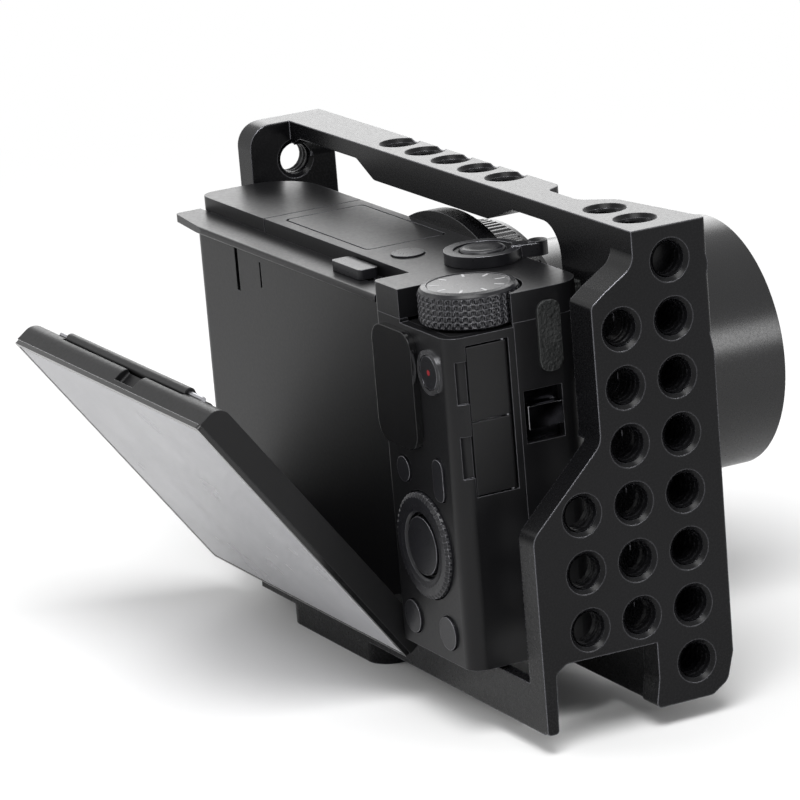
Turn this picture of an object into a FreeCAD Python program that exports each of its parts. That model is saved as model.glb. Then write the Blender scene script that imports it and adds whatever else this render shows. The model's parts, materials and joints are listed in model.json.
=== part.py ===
"""Camera cage closed round a compact camera: one solid per sub-part, written to parts/NODE.step.

Millimetres. +X is to the right seen from behind the camera, +Y is where the lens looks, +Z is up.
The origin is on the axis of the camera screw, in the plane of the foot that the cage stands on.
"""
import FreeCAD, Part
import math
import os

V = FreeCAD.Vector
X_AXIS, Y_AXIS, Z_AXIS = V(1, 0, 0), V(0, 1, 0), V(0, 0, 1)

# Accessory holes of the cage: 1/4"-20 taps on a regular pitch
PITCH = 9.0
TAP_R = 2.80
TAP_RIM_R = 3.42
TAP_BLIND = 9.0
TAP_SHORT = 4.0

# Cage frame
FRAME_RIGHT = 72.0
FRAME_LEFT = -46.9
FRAME_TOP = 77.8
FRAME_BOTTOM = 3.4
FRAME_BACK = -9.45
FRAME_FACE = 10.8
BEAM_FRONT = 18.9
WEB = 4.5
SHOULDER = 6.5
COLUMN = 12.0
LEFT_WALL = 4.9
LEFT_BACK = 3.1
LEFT_CORNER = 4.0
RAIL = 2.0
FLOOR_TOP = 10.7
FLOOR_LEFT = -26.1
FLOOR_RIGHT = 21.0
FOOT_HALF = 16.65
FOOT_CORNER = 4.0
BEAM_THICK = 5.5
BEAM_THIN = 2.7
SIDE_ROW_TOP = 72.4
SIDE_COL_FRONT = 17.1
BEAM_HOLE_Y = 15.8
BEAM_HOLES_LEFT = -11.3
BEAM_HOLES_RIGHT = 55.8
LEFT_HOLE = (11.4, 71.2)
TRIPOD_HOLE_X = 11.3

# Camera screw, held in the floor by its clip
SCREW_SHANK_R = 2.95
SCREW_HEAD_R = 6.2
SCREW_HEAD_TOP = 5.4
SCREW_HEAD_LOW = 1.0
SCREW_TIP = 15.6
CLIP_R = 4.6
CLIP_T = 0.8
RING_WIRE = 0.7
RING_SPAN = 4.6
SOCKET_R = 3.02
RING_Z = SCREW_HEAD_LOW + 0.85
PRESS = 0.02

# Camera body
CAM_LEFT = -40.5
CAM_RIGHT = 59.0
CAM_FRONT = 9.9
CAM_BACK = -14.4
PANEL = -9.45
CAM_BOTTOM = 11.2
CAM_TOP = 68.6
STEP_X = 35.6
WALL = 1.5
BOARD_T = 1.4
SPLIT_Z = 64.0
SPLIT_Y = -3.0
DECK_BACK = -7.9
BROW_TOP = 66.2
BROW_BACK = -14.2
BROW_EDGE = 1.2
FIT = 0.15

# Controls of the camera: centre, radius and height of each
DIAL = (50.8, -5.9)
DIAL_R = 7.75
DIAL_TOP = 69.4
DIAL_FLOOR = 63.4
SHUTTER = (36.9, 4.35)
SHUTTER_R = 3.6
ZOOM_R = 6.1
ZOOM_REACH = 8.6
POWER = (24.7, -2.4)
POWER_R = 2.6
WHEEL = (46.7, 28.75)
WHEEL_R = 8.4
CENTRE_R = 4.6
MOVIE = (52.6, 57.3)
FN = (41.6, 39.9)
MENU = (53.0, 40.4)
PLAY = (40.6, 15.9)
DELETE = (52.0, 15.9)
BUTTON_R = 2.6
FN_R = 2.0
SWITCH = (21.0, -10.0)
ROOF = 1.4
LID_GAP = 0.32
SLEEVE_R = 4.5
ZOOM_ANGLE = 66.0
DIAL_SHAFT_R = 1.5
WHEEL_BORE = 5.2
EVF_X = -15.5
EVF_BLOCK = (-36.8, -17.5, -5.8, 5.6)
FLASH = (-11.7, 17.1, -5.6, 8.2)

# Side fittings of the camera
LUG_Y = 1.1
LUG_LEFT_Y = -2.8
LUG_LIP = 0.35
LUG_HALF = 3.3
LUG_NICHE = (45.0, 53.2)
LUG_BAR = (47.2, 50.8)
CASE_SCREW_R = 1.5

# Lens
LENS = (13.5, 40.9)
FLANGE_R = 30.2
FLANGE_FRONT = 13.0
RING_FRONT = 20.4
BARREL_1_R = 21.9
BARREL_2_R = BARREL_1_R - 1.0
COLLAR_R = BARREL_1_R + 2.6
RING_R = COLLAR_R + 2.7
BARREL_WALL = 0.65
BARREL_STEP = 40.0
BARREL_FRONT = 58.95
BARREL_LENGTH = 28.0
LENS_HOUSING_R = BARREL_1_R + 1.2
FRONT_GLASS_R = 14.5

# Screen, drawn closed and then tilted about its lower hinge
TILT = 36.2
HINGE = (-11.2, 11.9)
SCREEN_LEFT = -35.4
SCREEN_RIGHT = 35.0
SCREEN_FACE = -15.8
SCREEN_T = 5.2
SCREEN_BOTTOM = 9.7
SCREEN_TOP = 63.9
BEZEL = 0.8
PLATE_T = 0.7
PIN_R = 0.6
BARREL_R = 1.15
FLIP = (-10.55, 62.4)

# Marks in the panel behind the screen: x, lowest z, highest z, width
PANEL_SLOTS = ((-24.8, 55.2, 63.2, 1.2), (-15.6, 57.2, 61.6, 0.6))

# Doors
DOOR_Y = (-11.3, -4.3)
DOOR_Z = (38.6, 50.2, 61.9)
DOOR_T = 1.2
DOOR_AXIS = (58.4, -4.9)
DOOR_PIN_R = 0.34
BAY = (27.0, 56.5, -6.2, 8.6)

def vec(plane, u, v, w=0.0):
    """Point of a sketch plane: u and v lie in it, w is the height off it."""
    return {"yz": V(w, u, v), "xz": V(u, w, v), "xy": V(u, v, w)}[plane]


def outline(plane, corners, w):
    """Closed wire through corners (u, v, radius), each radius an arc tangent to its two sides."""
    count = len(corners)
    marks = []
    for i, (u, v, r) in enumerate(corners):
        before, after = corners[i - 1], corners[(i + 1) % count]
        a = V(before[0] - u, before[1] - v, 0).normalize()
        b = V(after[0] - u, after[1] - v, 0).normalize()
        half = math.acos(max(-1.0, min(1.0, a.dot(b)))) / 2
        if r <= 0:
            marks.append((V(u, v, 0), None, V(u, v, 0)))
            continue
        cut = r / math.tan(half)
        centre = V(u, v, 0) + (a + b).normalize() * (r / math.sin(half))
        middle = centre + (V(u, v, 0) - centre).normalize() * r
        marks.append((V(u, v, 0) + a * cut, middle, V(u, v, 0) + b * cut))
    edges = []
    for i, (start, middle, end) in enumerate(marks):
        if middle is not None:
            points = [vec(plane, p.x, p.y, w) for p in (start, middle, end)]
            edges.append(Part.Arc(*points).toShape())
        follow = marks[(i + 1) % count][0]
        if (follow - end).Length > 1e-6:
            ends = vec(plane, end.x, end.y, w), vec(plane, follow.x, follow.y, w)
            edges.append(Part.LineSegment(*ends).toShape())
    return Part.Wire(edges)


def slab(plane, corners, low, high):
    """Prism of an outline between two heights off its plane."""
    face = Part.Face(outline(plane, corners, low))
    return face.extrude(vec(plane, 0, 0, high - low))


def block(x0, x1, y0, y1, z0, z1):
    """Box between its two corners."""
    return Part.makeBox(x1 - x0, y1 - y0, z1 - z0, V(x0, y0, z0))


def rod(radius, start, end):
    """Cylinder from one point to another."""
    start, end = V(*start), V(*end)
    return Part.makeCylinder(radius, (end - start).Length, start, end - start)


def tube(outer, inner, start, end):
    """Hollow cylinder from one point to another."""
    return rod(outer, start, end).cut(rod(inner, start, end))


def fused(shapes):
    """One shape out of many, with the seams removed."""
    first, rest = shapes[0], shapes[1:]
    return first.multiFuse(rest).removeSplitter() if rest else first


def tap(mouth, inward, depth):
    """Cutter of one tapped hole: bore and the chamfer at its mouth."""
    mouth, inward = V(*mouth), V(*inward)
    chamfer = TAP_RIM_R - TAP_R
    bore = Part.makeCylinder(TAP_R, depth, mouth, inward)
    cone = Part.makeCone(TAP_RIM_R, TAP_R, chamfer, mouth, inward)
    return bore.fuse(cone)


def round_rect(u0, u1, v0, v1, r):
    """Corners of a rectangle with equal radii."""
    return [(u0, v0, r), (u1, v0, r), (u1, v1, r), (u0, v1, r)]


def side_outline():
    """Side plate seen along X: leg, scoop for the strap lug, slanted rear edge and rear fin."""
    mid_back = FRAME_FACE - 7.6
    return [
        (FRAME_FACE, FRAME_TOP, 0.6), (21.6, FRAME_TOP, 3.2), (23.8, 70.8, 4.0), (22.3, 65.2, 5.0),
        (23.8, 57.0, 6.0), (23.6, 9.6, 0.0), (22.4, 5.2, 2.0), (19.6, FRAME_BOTTOM, 1.5),
        (9.6, FRAME_BOTTOM, 0.8), (10.4, 8.0, 0.0), (10.4, 13.8, 0.0), (-5.4, 14.0, 1.5),
        (-7.2, 12.8, 1.0), (-7.5, FRAME_BOTTOM, 0.6), (FRAME_BACK, FRAME_BOTTOM, 0.6),
        (FRAME_BACK, 34.3, 3.0), (mid_back, 46.6, 3.0), (mid_back, 67.6, 1.2), (5.6, 69.4, 1.5),
        (FRAME_FACE, 72.6, 3.0),
    ]


def front_outline():
    """Front frame seen along Y: beam, right block, floor bar and left wall round the lens opening."""
    thick, thin = FRAME_TOP - BEAM_THICK, FRAME_TOP - BEAM_THIN
    inner = FRAME_RIGHT - COLUMN
    hole = [
        (FRAME_LEFT + LEFT_WALL, thin, 4.0), (-17.6, thin, 2.0), (-11.8, thick, 2.0), (27.2, thick, 2.0),
        (35.4, thin, 2.0), (49.8, thin, 5.0), (50.6, 62.0, 6.0), (inner, 50.0, 8.0), (inner, 14.0, 3.0),
        (49.0, 14.0, 2.0), (45.0, FLOOR_TOP, 1.0), (FLOOR_LEFT + 6.0, FLOOR_TOP, 1.0),
        (FLOOR_LEFT + 2.0, 14.0, 2.0), (FRAME_LEFT + LEFT_WALL, 14.0, 3.0),
    ]
    return hole


def beam_plan():
    """Front frame seen from above: even beam, slim neck beside the lens and flared right end."""
    return [
        (FRAME_LEFT, FRAME_FACE, 0.0), (FRAME_LEFT, BEAM_FRONT, 0.0), (36.6, BEAM_FRONT, 2.0),
        (38.4, BEAM_FRONT - 3.1, 1.5), (47.6, BEAM_FRONT - 3.1, 3.0), (51.8, BEAM_FRONT + 1.4, 3.0),
        (FRAME_RIGHT, BEAM_FRONT + 4.9, 0.6), (FRAME_RIGHT, FRAME_FACE, 0.0),
    ]


def side_holes():
    """Mouths of the tapped holes of the side plate, as (y, z, depth) by column and row."""
    rows = {0: range(0, 8), 1: range(1, 7), 2: range(4, 7)}
    holes = []
    for column, numbers in rows.items():
        for row in numbers:
            depth = TAP_BLIND if column == 0 else SHOULDER + 0.5
            depth = TAP_SHORT if row == 0 else depth
            holes.append((SIDE_COL_FRONT - column * PITCH, SIDE_ROW_TOP - row * PITCH, depth))
    return holes


def cage_frame():
    """The milled aluminium frame, in one piece."""
    web = slab("yz", side_outline(), FRAME_RIGHT - WEB, FRAME_RIGHT)
    thick = slab("yz", side_outline(), FRAME_RIGHT - SHOULDER, FRAME_RIGHT)
    shoulder = thick.common(block(0, 80, -20, 30, 46.6, 80))
    column = slab("yz", side_outline(), FRAME_RIGHT - COLUMN, FRAME_RIGHT)
    column = column.common(block(0, 80, FRAME_FACE, 30, 0, 80))
    outer = slab("xz", round_rect(FRAME_LEFT, FRAME_RIGHT, FRAME_BOTTOM, FRAME_TOP, 0.0), FRAME_FACE, 30.0)
    ring = outer.cut(slab("xz", front_outline(), FRAME_FACE - 1, 31.0))
    ring = ring.common(slab("xy", beam_plan(), 0.0, FRAME_TOP))
    low_front = block(FRAME_LEFT, FRAME_RIGHT, BEAM_FRONT, 30, 0, 60)
    ring = ring.cut(low_front)
    left = slab("yz", [(LEFT_BACK, FRAME_BOTTOM, 2.0), (BEAM_FRONT, FRAME_BOTTOM, 1.0),
                       (BEAM_FRONT, FRAME_TOP, 0.6), (LEFT_BACK, FRAME_TOP, LEFT_CORNER)],
                FRAME_LEFT, FRAME_LEFT + LEFT_WALL)
    floor = block(FLOOR_LEFT, FLOOR_RIGHT, FRAME_BACK, FRAME_FACE, FRAME_BOTTOM, FLOOR_TOP)
    rail = block(FLOOR_LEFT, FRAME_RIGHT - 1, FRAME_BACK, FRAME_BACK + RAIL, FRAME_BOTTOM, FLOOR_TOP)
    foot = slab("xy", round_rect(-FOOT_HALF, FOOT_HALF, FRAME_BACK, BEAM_FRONT, FOOT_CORNER),
                0.0, FRAME_BOTTOM + 0.5)
    frame = fused([web, shoulder, column, ring, left, floor, rail, foot])
    cutters = [tap((FRAME_RIGHT, y, z), (-1, 0, 0), depth) for y, z, depth in side_holes()]
    for i in range(5):
        cutters.append(tap((BEAM_HOLES_LEFT + i * PITCH, BEAM_HOLE_Y, FRAME_TOP), (0, 0, -1), BEAM_THICK + 1))
    for i in range(2):
        cutters.append(tap((BEAM_HOLES_RIGHT + i * PITCH, BEAM_HOLE_Y, FRAME_TOP), (0, 0, -1), TAP_BLIND))
    cutters.append(tap((FRAME_LEFT, *LEFT_HOLE), (1, 0, 0), LEFT_WALL + 1))
    cutters.append(tap((FRAME_LEFT + LEFT_WALL, *LEFT_HOLE), (-1, 0, 0), LEFT_WALL + 1))
    for side in (-1, 1):
        cutters.append(rod(TAP_R, (side * TRIPOD_HOLE_X, 0, -1), (side * TRIPOD_HOLE_X, 0, FLOOR_TOP + 1)))
    cutters.append(rod(SCREW_SHANK_R + 0.08, (0, 0, -1), (0, 0, 20)))
    cutters.append(rod(SCREW_HEAD_R + 0.3, (0, 0, -1), (0, 0, SCREW_HEAD_TOP + 0.2)))
    cutters.append(rod(CLIP_R + 0.2, (0, 0, FLOOR_TOP - CLIP_T - 0.4), (0, 0, 20)))
    return frame.cut(Part.makeCompound(cutters)).removeSplitter()


def camera_screw():
    """Screw that holds the camera: slotted flat head, plain neck with a groove, and thread."""
    head = rod(SCREW_HEAD_R, (0, 0, SCREW_HEAD_LOW), (0, 0, SCREW_HEAD_TOP))
    shank = rod(SCREW_SHANK_R, (0, 0, SCREW_HEAD_TOP), (0, 0, SCREW_TIP))
    groove_z = FLOOR_TOP - CLIP_T - 0.2
    groove = tube(SCREW_SHANK_R + 1, SCREW_SHANK_R - 0.5, (0, 0, groove_z), (0, 0, groove_z + CLIP_T))
    pocket = slab("xy", round_rect(-RING_SPAN - 0.9, RING_SPAN + 0.9, -1.1, RING_SPAN + 0.9, 0.6),
                  SCREW_HEAD_LOW - 1, SCREW_HEAD_LOW + 1.7)
    slot = block(-SCREW_HEAD_R, SCREW_HEAD_R, -4.0, -2.6, SCREW_HEAD_LOW - 1, SCREW_HEAD_LOW + 1.6)
    pivots = rod(RING_WIRE + 0.06, (-RING_SPAN - 1.3, 0, RING_Z), (RING_SPAN + 1.3, 0, RING_Z))
    return fused([head, shank]).cut(groove).cut(pocket).cut(slot).cut(pivots)


def screw_clip():
    """Split washer in the screw's groove, above the floor's shoulder."""
    z = FLOOR_TOP - CLIP_T - 0.2
    clip = tube(CLIP_R, SCREW_SHANK_R - 0.5, (0, 0, z), (0, 0, z + CLIP_T))
    return clip.cut(block(-1.2, 1.2, 0, CLIP_R + 1, z - 1, z + 2))


def screw_ring():
    """Folding finger ring of the camera screw: half loop of wire with two short pivot ends."""
    z = SCREW_HEAD_LOW + 0.85
    path = [
        Part.LineSegment(V(RING_SPAN, 0, z), V(RING_SPAN, 0.4, z)).toShape(),
        Part.Arc(V(RING_SPAN, 0.4, z), V(0, RING_SPAN + 0.0, z), V(-RING_SPAN, 0.4, z)).toShape(),
        Part.LineSegment(V(-RING_SPAN, 0.4, z), V(-RING_SPAN, 0, z)).toShape(),
    ]
    profile = Part.Wire(Part.makeCircle(RING_WIRE, V(RING_SPAN, 0, z), Y_AXIS))
    loop = Part.Wire(path).makePipeShell([profile], True, True)
    pivot = [rod(RING_WIRE, (side * (RING_SPAN - 0.7), 0, z), (side * (RING_SPAN + 1.2), 0, z))
             for side in (-1, 1)]
    return fused([loop] + pivot)


def camera_plan(inset, back_left=PANEL):
    """Camera seen from above, its walls moved inwards by inset; the controls stand behind the panel."""
    left, right = CAM_LEFT + inset, CAM_RIGHT - inset
    back, front, step = CAM_BACK + inset, CAM_FRONT - inset, STEP_X + inset
    return [
        (left, back_left + inset, 3.0 - inset), (step, back_left + inset, 0.0), (step, back, 1.2 - inset / 2),
        (right, back, 2.6 - inset), (right, front, 5.0 - inset), (left, front, 9.0 - inset),
    ]


def body_shell():
    """Both halves of the camera's case as one hollow shell, open at the top."""
    outer = slab("xy", camera_plan(0.0), CAM_BOTTOM, SPLIT_Z)
    inner = slab("xy", camera_plan(WALL), CAM_BOTTOM + WALL, SPLIT_Z + 1)
    return outer.cut(inner)


def dial_pocket(radius, low):
    """Space of the mode dial in the rear right corner of the camera, open to the back."""
    x, y = DIAL
    round_part = rod(radius, (x, y, low), (x, y, CAM_TOP + 5))
    corner = block(x - radius + 1.2, CAM_RIGHT + 1, CAM_BACK - 1, y, low, CAM_TOP + 5)
    side = block(x, CAM_RIGHT + 1, CAM_BACK - 1, y + radius / 3, low, CAM_TOP + 5)
    return fused([round_part, corner, side])


def screw_places():
    """Heads of the case screws, on the camera's underside."""
    return [(-36.0, -5.5), (-31.0, 5.5), (24.0, 7.0), (24.0, -6.8)]


def shell_cutters():
    """Everything that opens the case: bay, ports, lugs, tripod socket, screws and the dial's corner."""
    bay_x0, bay_x1, bay_y0, bay_y1 = BAY
    cutters = [
        block(bay_x0, bay_x1, bay_y0, bay_y1, CAM_BOTTOM - 1, CAM_BOTTOM + WALL + 1),
        block(CAM_RIGHT - 3, CAM_RIGHT + 1, DOOR_Y[0] - FIT, DOOR_Y[1] + FIT, DOOR_Z[0] - FIT, DOOR_Z[2] + FIT),
        block(CAM_RIGHT - 3, CAM_RIGHT + 1, LUG_Y - LUG_HALF, LUG_Y + LUG_HALF, *LUG_NICHE),
        block(CAM_LEFT - 1, CAM_LEFT + 3, LUG_LEFT_Y - LUG_HALF, LUG_LEFT_Y + LUG_HALF, *LUG_NICHE),
        rod(SOCKET_R + 1.85, (0, 0, CAM_BOTTOM - 1), (0, 0, CAM_BOTTOM + WALL + 1)),
        dial_pocket(DIAL_R + 0.45, DIAL_FLOOR),
    ]
    for x, y in screw_places():
        cutters.append(rod(CASE_SCREW_R, (x, y, CAM_BOTTOM - 1), (x, y, CAM_BOTTOM + 0.8)))
    for low in DOOR_Z[:2]:
        middle = low + 6.2
        cutters.append(rod(1.6, (CAM_RIGHT + 0.9, DOOR_Y[0] - 1.1, middle - 3.3),
                           (CAM_RIGHT + 0.9, DOOR_Y[0] - 1.1, middle + 3.3)))
    return cutters


def rear_shell():
    """Rear half of the case: panel behind the screen and the area with the controls."""
    shell = body_shell().common(block(-60, 80, -30, SPLIT_Y, 0, 80))
    cutters = shell_cutters()
    for (x, z), radius in button_places().items():
        cutters.append(rod(radius + FIT, (x, CAM_BACK - 1, z), (x, CAM_BACK + WALL + 1, z)))
    cutters.append(rod(WHEEL_R + 0.2, (WHEEL[0], CAM_BACK - 1, WHEEL[1]), (WHEEL[0], CAM_BACK + WALL + 1, WHEEL[1])))
    cutters.append(slab("xz", menu_corners(FIT), CAM_BACK - 1, CAM_BACK + WALL + 1))
    for x, z0, z1, wide in PANEL_SLOTS:
        cutters.append(block(x, x + wide, PANEL - 1, PANEL + 0.8, z0, z1))
    return shell.cut(Part.makeCompound(cutters))


def front_shell():
    """Front half of the case, with the round opening of the lens."""
    shell = body_shell().common(block(-60, 80, SPLIT_Y, 30, 0, 80))
    cutters = shell_cutters()
    cutters.append(rod(LENS_HOUSING_R + FIT, (LENS[0], 0, LENS[1]), (LENS[0], CAM_FRONT + 1, LENS[1])))
    return shell.cut(Part.makeCompound(cutters))


def top_plan(inset):
    """Top cover seen from above: its rear edge stands in front of the brow."""
    return camera_plan(inset, DECK_BACK)


def flash_corners(gap):
    """Outline of the flash lid in the deck."""
    return round_rect(FLASH[0] - gap, FLASH[1] + gap, FLASH[2] - gap, FLASH[3] + gap, 1.0)


def top_cover():
    """Top cover with the openings of the finder, the flash and the controls."""
    outer = slab("xy", top_plan(0.0), SPLIT_Z, CAM_TOP)
    inner = slab("xy", top_plan(WALL), SPLIT_Z - 1, CAM_TOP - ROOF)
    pocket = dial_pocket(DIAL_R + 0.45, SPLIT_Z - 1)
    lining = dial_pocket(DIAL_R + 1.45, SPLIT_Z).common(outer)
    sleeve = tube(SLEEVE_R, SHUTTER_R + FIT, (*SHUTTER, CAM_TOP - ROOF), (*SHUTTER, CAM_TOP + 1.6))
    cover = outer.cut(inner).fuse(lining).cut(pocket).fuse(sleeve)
    cutters = [
        block(CAM_LEFT - 1, EVF_X + LID_GAP, -30, 30, BROW_TOP, CAM_TOP + 1),
        slab("xy", flash_corners(LID_GAP), SPLIT_Z - 1, CAM_TOP + 1),
        rod(POWER_R + FIT, (*POWER, SPLIT_Z), (*POWER, CAM_TOP + 1)),
        rod(SHUTTER_R + FIT, (*SHUTTER, SPLIT_Z), (*SHUTTER, CAM_TOP + 5)),
    ]
    return cover.cut(Part.makeCompound(cutters)).removeSplitter()


def rear_brow():
    """Ledge behind the deck that covers the top edge of the closed screen."""
    profile = [
        (DECK_BACK, BROW_TOP, 0.0), (BROW_BACK, BROW_TOP, 0.4), (BROW_BACK, BROW_TOP - BROW_EDGE, 0.4),
        (PANEL, SPLIT_Z + 0.6, 0.0), (PANEL, SPLIT_Z, 0.0), (DECK_BACK, SPLIT_Z, 0.0),
    ]
    plate = slab("yz", profile, CAM_LEFT + 0.4, STEP_X - FIT)
    slim = slab("xy", [(CAM_LEFT + 0.4, DECK_BACK, 0.0), (CAM_LEFT + 0.4, BROW_BACK + 1.6, 1.0),
                       (-27.0, BROW_BACK, 4.0), (STEP_X - FIT, BROW_BACK, 0.0),
                       (STEP_X - FIT, DECK_BACK, 0.0)], SPLIT_Z - 1, BROW_TOP + 1)
    x, y = SWITCH
    slot = block(x - 4.0, x + 6.0, y - 0.7, y + 0.7, SPLIT_Z - 1, BROW_TOP + 1)
    return plate.common(slim).cut(slot)


def flash_switch():
    """Slider on the brow that releases the flash."""
    x, y = SWITCH
    knob = slab("xy", round_rect(x - 5.0, x + 5.0, y - 1.7, y + 1.7, 0.8), BROW_TOP + 0.1, BROW_TOP + 1.7)
    stem = block(x - 3.7, x + 3.7, y - 0.55, y + 0.55, SPLIT_Z + 1.0, BROW_TOP + 0.1)
    return knob.fuse(stem)


def thumb_rest():
    """Glossy rest for the thumb on the control area."""
    pad = slab("xz", round_rect(STEP_X + 0.6, STEP_X + 13.3, 44.0, 62.6, 3.0), CAM_BACK - 1.2, CAM_BACK)
    return pad


def grip_pad():
    """Grained patch at the front of the right side."""
    return slab("yz", round_rect(0.9, 4.8, 55.6, 66.6, 1.6), CAM_RIGHT, CAM_RIGHT + 0.5)


def lug(side, wall_x, y):
    """Strap lug: back plate inside the wall and a bar standing off it."""
    inner = wall_x - side * (WALL + 0.9)
    plate = block(min(inner, wall_x - side * WALL), max(inner, wall_x - side * WALL), y - LUG_HALF - LUG_LIP,
                  y + LUG_HALF + LUG_LIP, LUG_NICHE[0] - 0.8, LUG_NICHE[1] + 0.8)
    outer, low = wall_x + side * 0.5, wall_x - side * WALL
    bar = block(min(outer, low), max(outer, low), y - LUG_HALF + 0.3, y + LUG_HALF - 0.3, *LUG_BAR)
    tunnel = block(min(wall_x - side * 0.6, low) - 0.01, max(wall_x - side * 0.6, low) + 0.01,
                   y - LUG_HALF + 1.3, y + LUG_HALF - 1.3, LUG_BAR[0] - 1, LUG_BAR[1] + 1)
    return fused([plate, bar.cut(tunnel)])


def strap_lugs():
    """Both strap lugs."""
    return Part.makeCompound([lug(1, CAM_RIGHT, LUG_Y), lug(-1, CAM_LEFT, LUG_LEFT_Y)])


def case_screws():
    """Small screws in the underside, with a cross recess."""
    solids = []
    for x, y in screw_places():
        head = rod(CASE_SCREW_R - 0.1, (x, y, CAM_BOTTOM + 0.1), (x, y, CAM_BOTTOM + 0.8))
        for wide, deep in ((1.2, 0.25), (0.25, 1.2)):
            head = head.cut(block(x - wide, x + wide, y - deep, y + deep, CAM_BOTTOM, CAM_BOTTOM + 0.4))
        solids.append(head)
    return Part.makeCompound(solids)


def tripod_socket():
    """Threaded insert in the underside that takes the camera screw."""
    low, high = CAM_BOTTOM, SCREW_TIP + 1.0
    flange = rod(SOCKET_R + 3.2, (0, 0, CAM_BOTTOM + WALL), (0, 0, CAM_BOTTOM + WALL + 1.0))
    body = rod(SOCKET_R + 1.8, (0, 0, low), (0, 0, high))
    return body.fuse(flange).cut(rod(SOCKET_R, (0, 0, low - 1), (0, 0, high - 0.8)))


def base_pad():
    """Thin rubber mat on the floor of the cage."""
    mat = slab("xy", round_rect(FLOOR_LEFT + 2, FLOOR_RIGHT - 1.5, FRAME_BACK + 1, CAM_FRONT - 0.4, 2.0),
               FLOOR_TOP, CAM_BOTTOM)
    return mat.cut(rod(SOCKET_R + 2.4, (0, 0, 0), (0, 0, 20)))


def front_pads():
    """Rubber pads between the camera's front and the front frame."""
    places = ((51.2, 55.6, 62.8, 67.4), (50.0, 55.0, 11.7, 13.6), (-31.0, -25.2, 11.7, 13.6))
    return Part.makeCompound([block(x0, x1, CAM_FRONT, FRAME_FACE, z0, z1) for x0, x1, z0, z1 in places])


def port_door(low, high):
    """Flap over one socket, turning about its front edge."""
    low, high = low + 0.15, high - 0.15
    axis_x, axis_y = DOOR_AXIS
    plate = block(CAM_RIGHT - DOOR_T, CAM_RIGHT, DOOR_Y[0], axis_y, low, high)
    barrel = rod(CAM_RIGHT - axis_x, (axis_x, axis_y, low), (axis_x, axis_y, high))
    bore = rod(DOOR_PIN_R + 0.06, (axis_x, axis_y, low - 1), (axis_x, axis_y, high + 1))
    return plate.fuse(barrel).removeSplitter().cut(bore)


def door_pin():
    """Pin of both port doors."""
    return rod(DOOR_PIN_R, (*DOOR_AXIS, DOOR_Z[0] - 0.15), (*DOOR_AXIS, DOOR_Z[2] + 0.15))


def port_sockets():
    """Socket block behind the port doors."""
    back = CAM_RIGHT - WALL - 0.2
    shape = block(back - 4.6, back + 0.2, DOOR_Y[0] + 0.6, DOOR_Y[1] + 1.0, DOOR_Z[0] - 1, DOOR_Z[2] - 0.2)
    middle_y = (DOOR_Y[0] + DOOR_Y[1]) / 2 - 0.3
    for low, half in ((DOOR_Z[0], 3.9), (DOOR_Z[1], 3.4)):
        z = low + 5.8
        mouth = slab("yz", round_rect(middle_y - 1.5, middle_y + 1.5, z - half, z + half, 0.6), back - 4, back + 1)
        tongue = block(back - 4.2, back - 0.8, middle_y - 0.3, middle_y + 0.3, z - half + 0.9, z + half - 0.9)
        shape = shape.cut(mouth).fuse(tongue)
    return shape


def button_places():
    """Round push buttons of the control area, by place and radius."""
    return {MOVIE: BUTTON_R, FN: FN_R, PLAY: BUTTON_R, DELETE: BUTTON_R}


def push_button(place, radius, proud):
    """Round button with a collar behind the wall that keeps it in."""
    x, z = place
    inner = CAM_BACK + WALL
    cap = rod(radius, (x, CAM_BACK - proud, z), (x, inner + 1.4, z))
    collar = rod(radius + 0.5, (x, inner + 0.1, z), (x, inner + 0.8, z))
    return cap.fuse(collar)


def menu_corners(gap):
    """Outline of the tall button beside the thumb rest."""
    x, z = MENU
    return round_rect(x - 1.6 - gap, x + 1.6 + gap, z - 3.3 - gap, z + 3.3 + gap, 1.4 + gap)


def menu_button():
    """Tall button with rounded ends."""
    inner = CAM_BACK + WALL
    return slab("xz", menu_corners(0.0), CAM_BACK - 0.4, inner + 1.0).fuse(
        slab("xz", menu_corners(0.4), inner + 0.1, inner + 0.8))


def movie_ring():
    """Bright rim round the movie button."""
    x, z = MOVIE
    return tube(BUTTON_R + 0.9, BUTTON_R + FIT, (x, CAM_BACK - 0.35, z), (x, CAM_BACK, z))


def wheel_base():
    """Plate behind the control wheel, with the sleeve that the wheel turns on."""
    x, z = WHEEL
    inner = CAM_BACK + WALL
    plate = rod(WHEEL_R + 0.8, (x, inner, z), (x, inner + 0.8, z))
    sleeve = tube(WHEEL_BORE - 0.08, CENTRE_R + FIT, (x, CAM_BACK + 0.2, z), (x, inner, z))
    return plate.fuse(sleeve).cut(rod(2.4, (x, inner - 1, z), (x, inner + 2, z)))


def control_wheel():
    """Ribbed wheel of the control area."""
    x, z = WHEEL
    return tube(WHEEL_R, WHEEL_BORE, (x, CAM_BACK - 1.0, z), (x, CAM_BACK + 1.2, z))


def centre_button():
    """Button in the middle of the wheel."""
    x, z = WHEEL
    cap = rod(CENTRE_R, (x, CAM_BACK - 0.8, z), (x, CAM_BACK + 0.8, z))
    return cap.fuse(rod(2.2, (x, CAM_BACK + 0.8, z), (x, CAM_BACK + WALL + 1.4, z)))


def dial_base():
    """Plate under the mode dial."""
    x, y = DIAL
    plate = slab("xy", camera_plan(WALL + 0.05), DIAL_FLOOR - 1.2, DIAL_FLOOR)
    plate = plate.common(block(40.0, 60, -20, 4.5, 0, 80))
    return plate.cut(rod(DIAL_SHAFT_R + 0.08, (x, y, 50), (x, y, 70)))


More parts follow.
